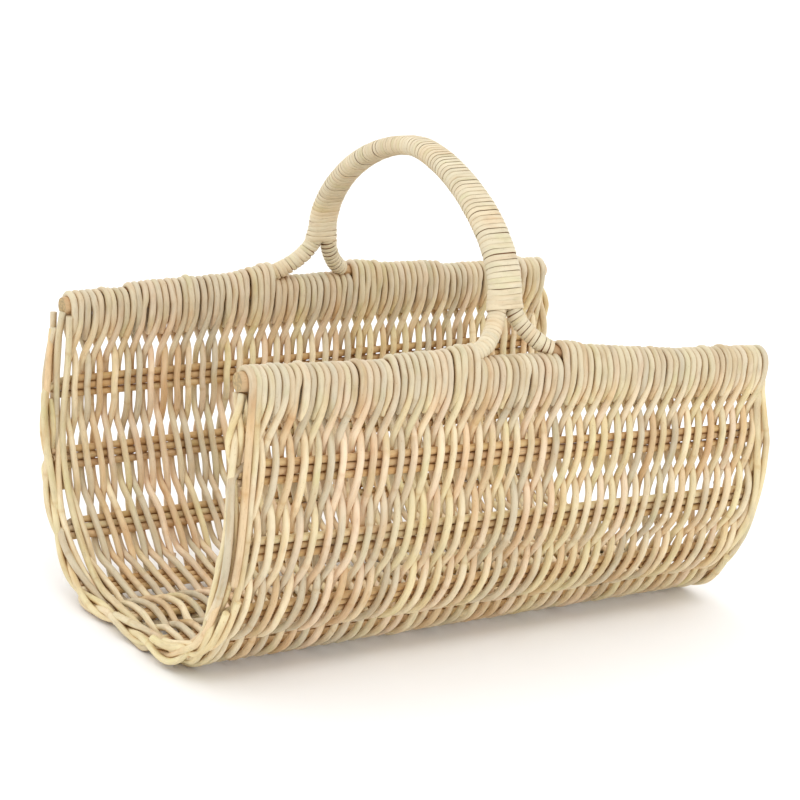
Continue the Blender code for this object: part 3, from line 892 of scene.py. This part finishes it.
def make_stakes(material):
    for number in range(1, len(ROWS) + 1):
        for lane in "abc":
            name = f"stake_row{number:02d}_{lane}"
            rng = random.Random(name)
            path = stake_path(number, lane, rng)
            lengths = path_lengths(path)
            marks = joint_marks(lengths, rng)
            radii = strand_radii(lengths, ROD_RADIUS * rng.uniform(*ROD_SIZES), marks, rng)
            # The middles keep that golden tone, partly painted shade; the ends take the borders' paler tones.
            shaded_middle_colours = strand_colours(lengths, SHADED_STAKE_PALETTE, marks, rng)
            end_colours = strand_colours(lengths, BORDER_PALETTE, marks, rng)
            shares = [[smooth((abs(x) - EDGE_TONE_FROM) / EDGE_TONE_SPAN)] for x in path[:, 0]]
            colours = shaded_middle_colours + (end_colours - shaded_middle_colours) * shares
            shape = Shape()
            add_tube(shape, path, radii, colours, rng.uniform(0, 50))
            shape.finish(f"{name}_rod", material, [name])


def make_rails(material, end_material):
    for side, name in ((-1, "rail_near"), (1, "rail_far")):
        rng = random.Random(name)
        low = -RAIL_LENGTH / 2 + (-RAIL_OVERRUN if side < 0 else FAR_RAIL_SHORT)
        high = RAIL_LENGTH / 2 + RAIL_OVERRUN
        count = 120
        xs = np.linspace(low, high, count)
        path = np.stack([xs, np.full(count, side * RAIL_Y), np.full(count, RAIL_Z)], axis=1)
        bare = np.minimum(xs - low, high - xs)
        swells = [smooth((RAIL_END_LENGTH - place) / (6 * MM)) for place in bare]
        radii = RAIL_RADIUS + RAIL_END_SWELL * np.array(swells)
        radii[[0, -1]] -= RAIL_END_BEVEL
        # The rails' colour is darkened as painted shade.
        colours = RAIL_PAINTED_SHADE * strand_colours(xs - low, ([SHADED_STAKE_GOLD, TAN], [1, 2]), np.zeros(count), rng)
        shape = Shape()
        add_tube(shape, path, radii, colours, side * 3, sides=28)
        piece = shape.finish(f"{name}_rod", material, [name])
        piece.data.materials.append(end_material)
        for face in piece.data.polygons:
            if len(face.vertices) > 4:
                face.material_index = 1


# ---- end borders

def plait_angle(distance, number, stretches):
    """Where one of the three plaited canes is in its weave, in radians."""
    places = [place for place, _ in stretches]
    turns = [turn for _, turn in stretches]
    return 2 * math.pi * (np.interp(distance, places, turns) + number / 3)


def plait_path(side, number, stretches, far_start, rng):
    """One cane of the plait down the edge of the trough, from under one rail to under the other."""
    points = []
    for distance in np.linspace(PLAIT_START, TOTAL - far_start, PLAIT_POINTS):
        angle = plait_angle(distance, number, stretches)
        tuck = smooth(min(distance, TOTAL - distance) / PLAIT_TAPER)
        wide = PLAIT_WIDTH * (0.5 + 0.5 * tuck)
        x = PLAIT_X - PLAIT_TUCK * (1 - tuck) + wide * math.sin(angle)
        y, z = on_wall(distance, PLAIT_DEPTH * math.sin(2 * angle))
        points.append((side * x, y, z))
    points = np.array(points)
    points[:, 0] += wavy(len(points), 26, PLAIT_WOBBLE, rng)
    return even_strand(points)


def long_tail(side, x, inside, length):
    """A tail that runs on down the wall's face as a long loose cane with a cut end."""
    points = []
    count = int(length / STAKE_STEP)
    for step in range(count):
        distance = length * (1 - step / count)
        out = WRAP + (ROW_OUT + LONG_TAIL_OUT - WRAP) * smooth(distance / (45 * MM))
        y, z = on_wall(distance, -out if inside else out)
        points.append((x + side * LONG_TAIL_SWEEP * smooth(distance / length), y, z))
    return points


def outer_pair_path(side, near_outside, tail_length, rng):
    """A border cane that lies on one face of a whole wall, and changes faces under the floor."""
    end_x = side * OUTER_PAIR_X + near_outside * BORDER_STEP
    points = long_tail(side, end_x, near_outside > 0, tail_length)
    points += rail_turn(-1, end_x, near_outside, 0.0)
    for distance in np.arange(PATH_STEP, TOTAL - 3 * PATH_STEP, PATH_STEP):
        from_rail = min(distance, TOTAL - distance)
        swap = near_outside * math.cos(math.pi * smooth((distance / TOTAL - SWAP_START) / SWAP_SPAN))
        deep = WRAP + (ROW_OUT + 0.8 * MM - WRAP) * smooth(from_rail / (50 * MM))
        bow = side * OUTER_BOW * smooth((from_rail - 30 * MM) / (80 * MM))
        drift = OUTER_DRIFT * math.sin(distance * 2 * math.pi / DRIFT_LENGTH) * near_outside
        y, z = on_wall(distance, swap * deep)
        points.append((end_x + bow + drift * smooth(from_rail / (60 * MM)), y, z))
    points = np.array(points)
    points[:, 0] += wavy(len(points), 40, 0.6 * MM, rng)
    return even_strand(points)


def loose_path(side, knots):
    """A short cane of the border, through a few (distance, |x|, outward) knots."""
    count = max(int(np.ptp(knots[:, 0]) / PATH_STEP), 12)
    points = []
    for distance, x, out in between(np.linspace(0, len(knots) - 1, count), range(len(knots)), knots):
        y, z = on_wall(distance, out)
        points.append((side * x, y, z))
    return soften(points, 8)


# Short canes worked into each border, by the places each one passes through: the distance round the section
# from the near rail, |x| and how far outward of the wall's middle, all in millimetres.
LEFT_LOOSE_CANES = {
    "stub": ((13, 284, 3), (13, 270, 3)),
    "corner_one": ((190, 279, 11), (225, 281, 11), (250, 283, 6), (272, 286, -8), (300, 288, -10),
                   (322, 289, -11)),
    "corner_two": ((180, 271, 11), (218, 273, 11), (243, 276, 5), (264, 280, -8), (286, 283, -11),
                   (306, 285, -12)),
    "far_stub": ((741, 277, 2), (722, 281, 3), (690, 283, 8), (640, 281, 7), (600, 276, 2)),
    "far_filler": ((757, 271, -3), (735, 275, -3), (700, 277, -4), (660, 276, -4), (620, 274, -3),
                   (585, 270, 0)),
    "far_low": ((645, 271, -4), (600, 277, -5), (560, 279, -5), (515, 276, -5), (470, 271, -3),
                (430, 266, 2)),
}
RIGHT_LOOSE_CANES = {
    "float": ((16, 279, 2), (50, 284, 5), (84, 292, 5), (112, 289, 7), (150, 286, 7), (195, 288, 5),
              (240, 284, 0)),
    "near_cross": ((14, 276, 0), (60, 274, 9), (110, 280, 9), (170, 285, 7), (229, 291, 2)),
    "corner": ((210, 276, 10), (260, 283, 10), (310, 284, 3), (350, 279, -8)),
    "loop": ((754, 272, 5), (745, 281, 5), (733, 289, 4), (722, 292, 3), (708, 289, 3), (688, 283, 4),
             (655, 276, 6), (615, 270, 9)),
}
# How many plait turns have passed at each distance: a diamond below the near rail, then long lazy turns.
LEFT_PLAIT = ((0.0, -0.02), (68 * MM, 0.5), (230 * MM, 0.83), (TOTAL, 3.4))
RIGHT_PLAIT = ((0.0, 0.0), (70 * MM, 0.5), (TOTAL, 4.0))


def border_cane(label, name, path, radius, seed, rng, material):
    shape = Shape()
    add_strand(shape, path, radius, BORDER_PALETTE, seed, rng)
    nodes = [f"border_{label}_{face}" for face in ("edge", "outer", "inner")]
    shape.finish(f"border_{label}_{name}", material, nodes)


def make_borders(material):
    ends = ((-1, "left", LEFT_PLAIT, LEFT_LOOSE_CANES), (1, "right", RIGHT_PLAIT, RIGHT_LOOSE_CANES))
    for side, label, stretches, loose_canes in ends:
        rng = random.Random(label)
        for number, near_outside in enumerate((1, -1)):
            start = number * 7 + side
            path = weaver_path(side * INNER_PAIR_X, near_outside, BORDER_STEP, rng, (BORDER_PROUD,) * 2)
            border_cane(label, f"inner_{number + 1}", path, BORDER_RADIUS, INNER_GRAIN + start, rng, material)
            if side < 0:
                tail_length = LONG_TAIL_LENGTH if near_outside < 0 else TAIL_LENGTH
                path = outer_pair_path(side, near_outside, tail_length, rng)
            else:
                path = weaver_path(side * OUTER_PAIR_X, near_outside, BORDER_STEP * 1.2, rng, (0.0, 0.0))
            border_cane(label, f"outer_{number + 1}", path, OUTER_PAIR_RADIUS, OUTER_GRAIN + start, rng,
                        material)
        for number in range(3):
            path = plait_path(side, number, stretches, PLAIT_FAR_STARTS[side][number], rng)
            start = PLAIT_GRAIN + number * 7 + side
            border_cane(label, f"plait_{number + 1}", path, BORDER_RADIUS, start, rng, material)
        for name, knots in loose_canes.items():
            path = loose_path(side, np.array(knots) * MM)
            border_cane(label, name, path, LOOSE_RADIUS, LOOSE_GRAIN + side, rng, material)


# ---- handle

def hoop_point(angle):
    """The hoop's centre line in the plane x = 0, from the near base (0) to the far base (pi)."""
    side = -1 if angle < math.pi / 2 else 1
    across = side * HOOP_REACH[side] * abs(math.cos(angle)) ** HOOP_ROUNDNESS[side]
    up = max(math.sin(angle), 0.0) ** HOOP_ROUNDNESS[1]
    return (0.0, across, HOOP_BASE_Z + (HOOP_APEX_Z - HOOP_BASE_Z) * up)


def leg_point(turned, x_side, y_side):
    """A point on the middle of a leg, from its foot (0) up to where it joins the hoop (1)."""
    leg = LEGS[(y_side, x_side > 0)]
    angle = math.pi / 2 * turned
    rise = math.sin(angle) ** leg["bow"]
    return (
        x_side * (leg["foot"] - (leg["foot"] - CORE_X) * rise),
        y_side * (RAIL_Y - (RAIL_Y - HOOP_REACH[y_side]) * math.sin(angle) ** 2),
        LEG_BOTTOM_Z + (HOOP_BASE_Z - LEG_BOTTOM_Z) * (1 - math.cos(angle)),
    )


def leg_emerges(leg):
    """How far along a leg it comes out from under the rail wrap."""
    rise = (leg["foot"] - leg["start"]) / (leg["foot"] - CORE_X)
    return math.asin(rise ** (1 / leg["bow"])) / (math.pi / 2)


def core_path(x_side):
    """One rod of the handle, from one foot over the hoop to the other, with its radius at each point."""
    foot_z = RAIL_Z + RAIL_RADIUS + GAP
    legs = []
    for y_side in (-1, 1):
        leg = LEGS[(y_side, x_side > 0)]
        part = []
        for away in np.linspace(leg["reach"] - 3 * MM, leg["foot"] + 2 * MM, 14):
            radius = foot_radius(leg, away)
            part.append((x_side * away, y_side * RAIL_Y, foot_z + radius, radius))
        part += [(*leg_point(step / 24, x_side, y_side), CORE_RADIUS) for step in range(24)]
        legs.append(part)
    hoop = [hoop_point(math.pi * step / 120) for step in range(121)]
    hoop = [(x_side * CORE_X, y, z, CORE_RADIUS) for _, y, z in hoop]
    path = np.array(legs[0] + hoop + legs[1][::-1])
    return path[:, :3], path[:, 3]


# A flat cane's outline, as shares of its width and thickness: it leans a little over the turn before.
CANE_OUTLINE = ((-0.5, -0.3), (-0.5, 0.25), (-0.38, 0.56), (0.0, 0.82), (0.38, 0.96), (0.49, 0.8), (0.5, 0.4),
                (0.3, -0.3))


def square_to(tangents, directions):
    """Directions turned so that they are square to a path's tangents."""
    return unit(directions - tangents * np.sum(directions * tangents, axis=1, keepdims=True))


def ribbon(shape, points, normals, width, thickness, colours, seed):
    """A flat cane with a crowned face; normals point away from what it is wound on."""
    tangents = unit(np.gradient(points, axis=0))
    normals = square_to(tangents, np.array(normals))
    across = np.cross(tangents, normals)
    rings = np.stack([points + across * (a * width)[:, None] + normals * (b * thickness)
                      for a, b in CANE_OUTLINE], axis=1)
    lengths = path_lengths(points)
    grain = np.empty(rings.shape)
    for index, (a, b) in enumerate(CANE_OUTLINE):
        grain[:, index, 0] = a * width + seed
        grain[:, index, 1] = b * thickness
        grain[:, index, 2] = lengths + seed
    shape.add(rings, np.asarray(colours, float), grain)


def stadium(share, spread, radius):
    """A point and its normal at a share of the way round a stadium outline."""
    straight = 2 * spread
    curve = math.pi * radius
    place = (share % 1.0) * (2 * straight + 2 * curve)
    if place < straight:
        return (spread - place, radius), (0.0, 1.0)
    place -= straight
    if place < curve:
        angle = math.pi / 2 + place / radius
        normal = (math.cos(angle), math.sin(angle))
        return (-spread + radius * normal[0], radius * normal[1]), normal
    place -= curve
    if place < straight:
        return (-spread + place, -radius), (0.0, -1.0)
    place -= straight
    angle = -math.pi / 2 + place / radius
    normal = (math.cos(angle), math.sin(angle))
    return (spread + radius * normal[0], radius * normal[1]), normal


def winding(name, centres, sideways, spreads, radius, pitch, overlap, rng, material, core_material):
    """Flat cane wound along a path of centres, over a thin dark core."""
    centres, lengths = resample(centres, 1.0 * MM)
    spreads = np.interp(np.linspace(0, 1, len(centres)), np.linspace(0, 1, len(spreads)), spreads)
    tangents = unit(np.gradient(centres, axis=0))
    sides = square_to(tangents, np.tile(np.array(sideways, float), (len(tangents), 1)))
    ups = np.cross(tangents, sides)
    turns = int(lengths[-1] / pitch)
    knots = range(turns + 2)
    shifts = [rng.gauss(0, TURN_SHIFT) for _ in knots]
    lifts = [abs(rng.gauss(0, TURN_LIFT)) for _ in knots]
    widths = [pitch * overlap * rng.uniform(*TURN_WIDTHS) for _ in knots]
    points = []
    normals = []
    ribbon_widths = []
    for step in range(turns * TURN_POINTS + 1):
        turn = step / TURN_POINTS
        distance = min(max(turn * pitch + np.interp(turn, knots, shifts), 0.0), lengths[-1])
        centre = between(distance, lengths, centres)
        side = between(distance, lengths, sides)
        up = between(distance, lengths, ups)
        spread = np.interp(distance, lengths, spreads)
        (a, b), (na, nb) = stadium(turn, spread, radius + np.interp(turn, knots, lifts))
        points.append(centre + side * a + up * b)
        normals.append(side * na + up * nb)
        ribbon_widths.append(np.interp(turn, knots, widths))
    tones = 1 + wavy(len(points), TURN_POINTS * 1.5, 0.035, rng)[:, None]
    warm = np.clip(wavy(len(points), TURN_POINTS * 4, 0.3, rng), 0, 1)[:, None]
    colours = (np.array(CANE_PALE) * (1 - warm) + np.array(mix(CANE_PALE, PEACH, 0.7)) * warm) * tones
    shape = Shape()
    ribbon(shape, points, normals, np.array(ribbon_widths), CANE_THICKNESS, colours, rng.uniform(0, 9))
    shape.finish(f"{name}_cane", material, [name])
    core = Shape()
    rings = []
    for index in range(4, len(centres) - 4, 2):
        ring = []
        for step in range(20):
            (a, b), _ = stadium(step / 20, spreads[index], radius - UNDER_DEPTH)
            ring.append(centres[index] + sides[index] * a + ups[index] * b)
        rings.append(ring)
    rings = np.array(rings)
    core.add(rings, np.tile(CORE_BROWN, (len(rings), 1)), rings)
    core.finish(f"{name}_under", core_material, ())


def join_points(y_side, spread):
    """The middles of two legs as they come together, and the spread of the binding round them both."""
    middles = []
    spreads = []
    for step in range(JOIN_POINTS):
        left, right = [leg_point(JOIN_START + JOIN_STEP * step, x_side, y_side) for x_side in (-1, 1)]
        middles.append(((left[0] + right[0]) / 2, left[1], left[2]))
        spreads.append((right[0] - left[0]) / 2 + spread - CORE_X)
    return middles, spreads


def make_handle(core_material, cane_material):
    for x_side, label in ((-1, "left"), (1, "right")):
        points, radii = core_path(x_side)
        rng = random.Random(label + "core")
        lengths = path_lengths(points)
        colours = strand_colours(lengths, ([TAN, CORE_BROWN], [2, 2]), np.zeros(len(points)), rng)
        shape = Shape()
        add_tube(shape, points, radii, colours, 77 + x_side, sides=16, first_normal=(0, 1, 0))
        shape.finish(f"handle_core_{label}_rod", core_material, [f"handle_core_{label}"])
        for y_side, place in ((-1, "near"), (1, "far")):
            leg = LEGS[(y_side, x_side > 0)]
            bottom = leg_emerges(leg) + leg["bare"] - LEG_WRAP_TUCK
            centres = [leg_point(LEG_WRAP_TOP + (bottom - LEG_WRAP_TOP) * step / 24, x_side, y_side)
                       for step in range(25)]
            rng = random.Random(label + place)
            winding(f"handle_wrap_{place}_{label}", centres, (0, 1, 0), [0.0] * len(centres),
                    LEG_BINDING_RADIUS, LEG_CANE_PITCH, LEG_CANE_OVERLAP, rng, cane_material, core_material)
    hoop = [hoop_point(math.pi * step / 160) for step in range(161)]
    knots = np.linspace(0, len(hoop) - 1, len(HOOP_SPREADS))
    near, near_spreads = join_points(-1, HOOP_SPREADS[0])
    far, far_spreads = join_points(1, HOOP_SPREADS[-1])
    spreads = near_spreads + np.interp(range(len(hoop)), knots, HOOP_SPREADS).tolist() + far_spreads[::-1]
    winding("handle_wrap_hoop", near + hoop + far[::-1], (1, 0, 0), spreads, BINDING_RADIUS, CANE_PITCH,
            CANE_OVERLAP, random.Random("hoop"), cane_material, core_material)


# ---- stage

def make_stage():
    material, _, shader = new_material("floor")
    shader.inputs["Base Color"].default_value = (FLOOR_TONE, FLOOR_TONE, FLOOR_TONE, 1)
    shader.inputs["Roughness"].default_value = 0.9
    bpy.ops.mesh.primitive_plane_add(size=FLOOR_SIZE, location=(0, 0, -0.2 * MM))
    floor = bpy.context.object
    floor.name = "floor"
    floor.data.materials.append(material)
    world = bpy.data.worlds.new("studio")
    bpy.context.scene.world = world
    world.use_nodes = True
    background = world.node_tree.nodes["Background"]
    background.inputs["Color"].default_value = (1.0, 1.0, 1.0, 1)
    background.inputs["Strength"].default_value = SKY_STRENGTH


def make_lights():
    for name, (place, target, size, power) in LIGHTS.items():
        light = bpy.data.lights.new(name, "AREA")
        light.size = size
        light.energy = power
        lamp = bpy.data.objects.new(name, light)
        lamp.location = place
        lamp.rotation_euler = (Vector(target) - Vector(place)).to_track_quat("-Z", "Y").to_euler()
        bpy.context.scene.collection.objects.link(lamp)


def make_camera():
    data = bpy.data.cameras.new("camera")
    data.lens = CAMERA_LENS
    data.clip_end = 20
    camera = bpy.data.objects.new("camera", data)
    turn = Matrix.Rotation(-CAMERA_TURN, 4, "Z") @ Matrix.Rotation(math.pi / 2 - CAMERA_DIP, 4, "X")
    camera.matrix_world = Matrix.Translation(CAMERA_PLACE) @ turn @ Matrix.Rotation(CAMERA_ROLL, 4, "Z")
    bpy.context.scene.collection.objects.link(camera)
    bpy.context.scene.camera = camera
    bpy.context.scene.view_settings.view_transform = "Standard"


weaver_willow = willow_material("weaver_willow", 0.55)
stake_willow = willow_material("stake_willow_looks", 0.58, fibre=0.34, blotch=0.6, painted_shade_colour=STAKE_PAINTED_SHADE)
border_willow = willow_material("border_willow_looks", 0.55)
rail_wood = willow_material("rail_wood_looks", 0.65, fibre=0.2)
cane = willow_material("binding_cane_looks", 0.48, fibre=0.2, blotch=0.35, painted_shade_colour=CANE_PAINTED_SHADE)
core_wood = willow_material("core_wood_looks", 0.65, fibre=0.25, blotch=0.5)
make_weavers(weaver_willow)
make_stakes(stake_willow)
make_rails(rail_wood, end_grain_material())
make_borders(border_willow)
make_handle(core_wood, cane)
make_stage()
make_lights()
make_camera()
